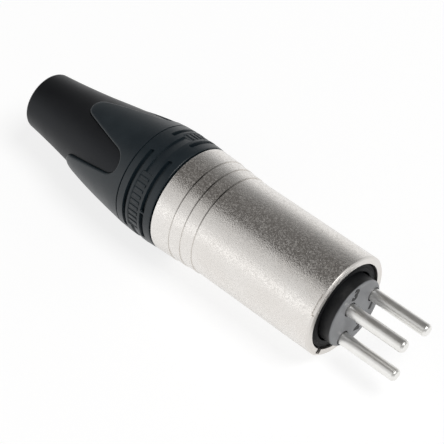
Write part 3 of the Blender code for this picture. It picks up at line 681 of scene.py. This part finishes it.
back = [(x, r) for x, r in ring_outline if x < PARTING + 0.6]
for x, r in front + middle_part + back:
    nut_rings.append((x, r - carved(x), nut_angles))
inner_x, inner_angle = shifted(nut_angles, edge_x, edge_away, PETAL_BEVEL)
start = PARTING - 0.13
nut_rings.append((start, petal_radius(start) - 0.08, nut_angles))
for t in np.linspace(0.0, 1.0, 22):
    x = (start - 0.06) * (1 - t) + inner_x * t
    nut_rings.append((x, petal_radius(x), nut_angles * (1 - t) + inner_angle * t))
for turn in (25.0, 50.0, 70.0, 90.0):
    a = math.radians(turn)
    x, angle = shifted(nut_angles, edge_x, edge_away, PETAL_BEVEL * (1 - math.sin(a)))
    nut_rings.append((x, petal_radius(x) - PETAL_BEVEL * (1 - math.cos(a)), angle))
nut_rings.append((edge_x, petal_radius(edge_x) - PETAL_WALL, nut_angles))
for t in np.linspace(0.0, 1.0, 12)[1:]:
    x = edge_x * (1 - t) + WEB * t
    nut_rings.append((x, petal_radius(x) - PETAL_WALL, nut_angles))
for x, r in ((WEB, CONE_END_RADIUS), (CONE_START, SPIGOT_BORE),
             (SPIGOT_FRONT - 0.05, SPIGOT_BORE)):
    nut_rings.append((x, r, nut_angles))
nut = skin("nut_body", nut_rings)
hard_nylon = skin_material(
    "blue_grey_nylon", ((0.0070, 0.0135, 0.0185), (0.0095, 0.0170, 0.0225)), (0.34, 0.42),
    grain=0.11, blotch=3.0, bump=0.22)
nut.data.materials.append(hard_nylon)
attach(nut, "boot")
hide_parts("nut")


# Grip ribs
# Short ribs moulded across the shallow band between the two rows of slots. They are copies of
# one rounded bar, set at even angles in each of the three sets.

RIBS = 9                    # in each set
RIB_AT = -42.45             # the place of a rib's middle
RIB_LENGTH = 2.0
RIB_WIDTH = 0.6
RIB_HEIGHT = 0.5
RIB_MIDDLE = 10.3           # the radius that it lies at
RIB_BEVEL = 0.14


def rib_tree():
    """Geometry Nodes: rib copies along an arc round the axis."""
    tree = bpy.data.node_groups.new("grip_ribs", 'GeometryNodeTree')
    sockets = {}
    for name, kind, value in (("Geometry", 'NodeSocketGeometry', None),
                              ("Rib", 'NodeSocketObject', None),
                              ("Ribs", 'NodeSocketInt', RIBS),
                              ("Start Angle", 'NodeSocketFloat', 0.0),
                              ("Pitch Angle", 'NodeSocketFloat', 0.1),
                              ("Finish", 'NodeSocketMaterial', None)):
        socket = tree.interface.new_socket(name, in_out='INPUT', socket_type=kind)
        if value is not None:
            socket.default_value = value
        sockets[name] = socket.identifier
    tree.interface.new_socket("Geometry", in_out='OUTPUT', socket_type='NodeSocketGeometry')
    nodes, links = tree.nodes, tree.links
    inside = nodes.new('NodeGroupInput')
    outside = nodes.new('NodeGroupOutput')
    line = nodes.new('GeometryNodeMeshLine')
    line.inputs["Offset"].default_value = (0.0, 0.0, 0.0)
    links.new(inside.outputs["Ribs"], line.inputs["Count"])
    info = nodes.new('GeometryNodeObjectInfo')
    links.new(inside.outputs["Rib"], info.inputs["Object"])
    index = nodes.new('GeometryNodeInputIndex')
    angle = nodes.new('ShaderNodeMath')
    angle.operation = 'MULTIPLY_ADD'
    links.new(index.outputs[0], angle.inputs[0])
    links.new(inside.outputs["Pitch Angle"], angle.inputs[1])
    links.new(inside.outputs["Start Angle"], angle.inputs[2])
    turn = nodes.new('ShaderNodeCombineXYZ')
    links.new(angle.outputs[0], turn.inputs["X"])
    copies = nodes.new('GeometryNodeInstanceOnPoints')
    links.new(line.outputs["Mesh"], copies.inputs["Points"])
    links.new(info.outputs["Geometry"], copies.inputs["Instance"])
    links.new(turn.outputs[0], copies.inputs["Rotation"])
    real = nodes.new('GeometryNodeRealizeInstances')
    links.new(copies.outputs["Instances"], real.inputs["Geometry"])
    finish = nodes.new('GeometryNodeSetMaterial')
    links.new(real.outputs["Geometry"], finish.inputs["Geometry"])
    links.new(inside.outputs["Finish"], finish.inputs["Material"])
    links.new(finish.outputs["Geometry"], outside.inputs["Geometry"])
    return tree, sockets


def rib_bar():
    """One rib with a rounded top, lying along the axis at angle 0."""
    mesh = bpy.data.meshes.new("rib")
    bm = bmesh.new()
    bmesh.ops.create_cube(bm, size=1.0)
    for vert in bm.verts:
        along, out, side = vert.co
        vert.co = Vector((RIB_AT + RIB_LENGTH * along, RIB_MIDDLE + RIB_HEIGHT * out,
                          RIB_WIDTH * side)) * 0.001
    top = [edge for edge in bm.edges if all(v.co.y > RIB_MIDDLE * 0.001 for v in edge.verts)]
    bmesh.ops.bevel(bm, geom=top, offset=RIB_BEVEL * 0.001, segments=3, affect='EDGES',
                    profile=0.5)
    bm.to_mesh(mesh)
    bm.free()
    return finished_piece("rib", mesh)


tree, rib_sockets = rib_tree()
bar = rib_bar()
rib_pitch = (BAND_ARC[1] - BAND_ARC[0]) / (RIBS + 1)
bm = bmesh.new()
for middle in SETS:
    holder = bpy.data.objects.new("rib_holder", bpy.data.meshes.new("rib_holder"))
    bpy.context.scene.collection.objects.link(holder)
    modifier = holder.modifiers.new("ribs", 'NODES')
    modifier.node_group = tree
    for name, value in (("Rib", bar), ("Ribs", RIBS),
                        ("Start Angle", math.radians(middle + BAND_ARC[0] + rib_pitch)),
                        ("Pitch Angle", math.radians(rib_pitch)), ("Finish", hard_nylon)):
        modifier[rib_sockets[name]] = value
    evaluated = holder.evaluated_get(bpy.context.evaluated_depsgraph_get())
    bm.from_mesh(bpy.data.meshes.new_from_object(evaluated))
    bpy.data.objects.remove(holder)
bpy.data.objects.remove(bar)
rib_mesh = bpy.data.meshes.new("grip_ribs")
bm.to_mesh(rib_mesh)
bm.free()
ribs = finished_piece("grip_ribs", rib_mesh)
ribs.data.materials.append(hard_nylon)
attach(ribs, "boot")


# Sleeve
# Soft black thermoplastic, moulded to snap under the nut's petals. Raised tongues fill the
# recesses between them, and the tail tapers to the cable.

SLEEVE_GAP = 0.03           # to the petals
SLEEVE_FRONT = WEB - FIT
SLEEVE_BORE = 4.3
SOFT_EDGE = 0.12
TONGUE_DROP = 0.46          # below the petals' faces at the parting line
TONGUE_SLOPE = 0.22         # how much that grows down to the petals' tips
TAIL_RADIUS = 7.54
TAIL_TAPER = 1.72
TAIL_HOLLOW = 0.4
TAIL_END = -75.9
TAIL_ROUND = 0.65


def sleeve_radius(x):
    """Outer radius of the sleeve: just under the petals' faces, then down the tail."""
    t = (PARTING - x) / (PARTING - PETAL_TIP)
    tongue = petal_radius(x) - TONGUE_DROP - TONGUE_SLOPE * t
    s = np.clip((PETAL_TIP - x) / (PETAL_TIP - TAIL_END - TAIL_ROUND), 0.0, 1.0)
    tail = TAIL_RADIUS - TAIL_TAPER * s - TAIL_HOLLOW * s * (1 - s)
    return np.where(x > PETAL_TIP, tongue, tail)


sleeve_angles, edge_x, edge_away = all_round(*petal_boundary())
wall_x, wall_angle = shifted(sleeve_angles, edge_x, edge_away, -SLEEVE_GAP)
sleeve_rings = [(SLEEVE_FRONT, SLEEVE_BORE + 0.1, sleeve_angles),
                (SLEEVE_FRONT, CONE_END_RADIUS - 0.1, sleeve_angles)]
floor_start = SLEEVE_FRONT - 0.02
for t in np.linspace(0.0, 1.0, 14):
    x = floor_start * (1 - t) + wall_x * t
    angle = sleeve_angles * (1 - t) + wall_angle * t
    sleeve_rings.append((x, petal_radius(x) - PETAL_WALL - SLEEVE_GAP, angle))
sleeve_rings.append((wall_x, sleeve_radius(wall_x) - SOFT_EDGE, wall_angle))
for turn in (30.0, 60.0, 90.0):
    a = math.radians(turn)
    inset = SOFT_EDGE * (1 - math.cos(a))
    x, angle = shifted(sleeve_angles, edge_x, edge_away, -SLEEVE_GAP - inset)
    sleeve_rings.append((x, sleeve_radius(x) - SOFT_EDGE * (1 - math.sin(a)), angle))
top_x, top_angle = shifted(sleeve_angles, edge_x, edge_away, -SLEEVE_GAP - SOFT_EDGE - 0.05)
round_x = TAIL_END + TAIL_ROUND
for t in np.linspace(0.0, 1.0, 40):
    x = top_x * (1 - t) + round_x * t
    sleeve_rings.append((x, sleeve_radius(x), top_angle * (1 - t) + sleeve_angles * t))
for turn in np.linspace(0.0, 90.0, 9)[1:]:
    a = math.radians(turn)
    drop = TAIL_ROUND * (1 - math.cos(a))
    sleeve_rings.append((round_x - TAIL_ROUND * math.sin(a), TAIL_RADIUS - TAIL_TAPER - drop,
                         sleeve_angles))
for x, r in ((TAIL_END, SLEEVE_BORE + 0.12), (TAIL_END + 0.04, SLEEVE_BORE + 0.03),
             (TAIL_END + 0.12, SLEEVE_BORE), (-60.0, SLEEVE_BORE),
             (SLEEVE_FRONT - 0.1, SLEEVE_BORE)):
    sleeve_rings.append((x, r, sleeve_angles))
sleeve = skin("sleeve_body", sleeve_rings)
soft_black = skin_material("soft_black", ((0.0040, 0.0042, 0.0052), (0.0058, 0.0060, 0.0070)),
                           (0.38, 0.46), grain=0.09, blotch=4.0, bump=0.2)
shader = soft_black.node_tree.nodes["Principled BSDF"]
shader.inputs["Specular IOR Level"].default_value = 0.26
shader.inputs["Specular Tint"].default_value = (0.86, 0.92, 1.0, 1.0)
sleeve.data.materials.append(soft_black)
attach(sleeve, "boot")
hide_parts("sleeve")


# Studio
# White table, a pale room that is darker overhead, and soft lamps. The camera stands where the
# photograph was taken from. Everything but the table's height is in metres here.

FLOOR = -10.66              # just below the grip ring
TABLE_HALF = 3.0
TABLE_COLOUR = 0.92
TABLE_COLOUR_SEEN = 0.28    # as the camera and reflections see it, where the glow is added
TABLE_GLOW_SEEN = 0.79
PLUG_MIDDLE = Vector((-0.033, 0.0, 0.0))
CAMERA_AZIMUTH = -46.658
CAMERA_ELEVATION = 47.404

white = bpy.data.materials.new("white_table")
white.use_nodes = True
nodes, links = white.node_tree.nodes, white.node_tree.links
shader = nodes["Principled BSDF"]
shader.inputs["Roughness"].default_value = 0.9
shader.inputs["Specular IOR Level"].default_value = 0.0
shader.inputs["Emission Color"].default_value = (1.0, 1.0, 1.0, 1.0)
path = nodes.new('ShaderNodeLightPath')
seen = nodes.new('ShaderNodeMath')
seen.operation = 'MAXIMUM'
links.new(path.outputs["Is Camera Ray"], seen.inputs[0])
links.new(path.outputs["Is Glossy Ray"], seen.inputs[1])
for socket, unseen, shown in (("Emission Strength", 0.0, TABLE_GLOW_SEEN),
                              ("Base Color", TABLE_COLOUR, TABLE_COLOUR_SEEN)):
    level = nodes.new('ShaderNodeMapRange')
    level.inputs["To Min"].default_value = unseen
    level.inputs["To Max"].default_value = shown
    links.new(seen.outputs[0], level.inputs["Value"])
    links.new(level.outputs["Result"], shader.inputs[socket])
mesh = bpy.data.meshes.new("table")
corners = [(x * TABLE_HALF, y * TABLE_HALF, FLOOR * 0.001)
           for x, y in ((-1, -1), (1, -1), (1, 1), (-1, 1))]
mesh.from_pydata(corners, [], [(0, 1, 2, 3)])
table = bpy.data.objects.new("table", mesh)
bpy.context.scene.collection.objects.link(table)
table.data.materials.append(white)

world = bpy.data.worlds.new("studio")
bpy.context.scene.world = world
world.use_nodes = True
nodes, links = world.node_tree.nodes, world.node_tree.links
direction = nodes.new('ShaderNodeTexCoord')
split = nodes.new('ShaderNodeSeparateXYZ')
links.new(direction.outputs["Generated"], split.inputs[0])
sky = nodes.new('ShaderNodeValToRGB')
sky.color_ramp.elements[0].position = 0.0
sky.color_ramp.elements[0].color = (0.97, 0.97, 0.97, 1.0)
sky.color_ramp.elements[1].position = 0.75
sky.color_ramp.elements[1].color = (0.135, 0.130, 0.125, 1.0)
# grey levels by height above the horizon
for height, level in ((0.08, 0.76), (0.39, 0.31)):
    sky.color_ramp.elements.new(height).color = (level, level, level, 1.0)
links.new(split.outputs["Z"], sky.inputs["Fac"])
links.new(sky.outputs["Color"], nodes["Background"].inputs["Color"])


def soft_lamp(name, place, size, power):
    """An area lamp that points at the plug."""
    light = bpy.data.lights.new(name, 'AREA')
    light.shape = 'RECTANGLE'
    light.size, light.size_y = size
    light.energy = power
    lamp = bpy.data.objects.new(name, light)
    bpy.context.scene.collection.objects.link(lamp)
    lamp.location = place
    toward_plug = PLUG_MIDDLE - lamp.location
    lamp.rotation_euler = toward_plug.to_track_quat('-Z', 'Y').to_euler()


soft_lamp("side_softbox", (-0.42, -0.66, 0.43), (0.9, 0.95), 1.42)
soft_lamp("top_softbox", (0.47, 0.05, 0.86), (0.4, 0.4), 5.4)

view = bpy.data.cameras.new("photo_view")
view.sensor_width = 36.0
view.lens = 124.86
camera = bpy.data.objects.new("photo_view", view)
bpy.context.scene.collection.objects.link(camera)
camera.location = (0.0955, -0.13359, 0.19958)
azimuth = math.radians(CAMERA_AZIMUTH)
elevation = math.radians(CAMERA_ELEVATION)
from_plug = Vector((math.cos(elevation) * math.cos(azimuth),
                    math.cos(elevation) * math.sin(azimuth), math.sin(elevation)))
camera.rotation_euler = (-from_plug).to_track_quat('-Z', 'Y').to_euler()
view.clip_start = 0.01
view.clip_end = 20.0
bpy.context.scene.camera = camera
bpy.context.scene.view_settings.view_transform = 'Standard'
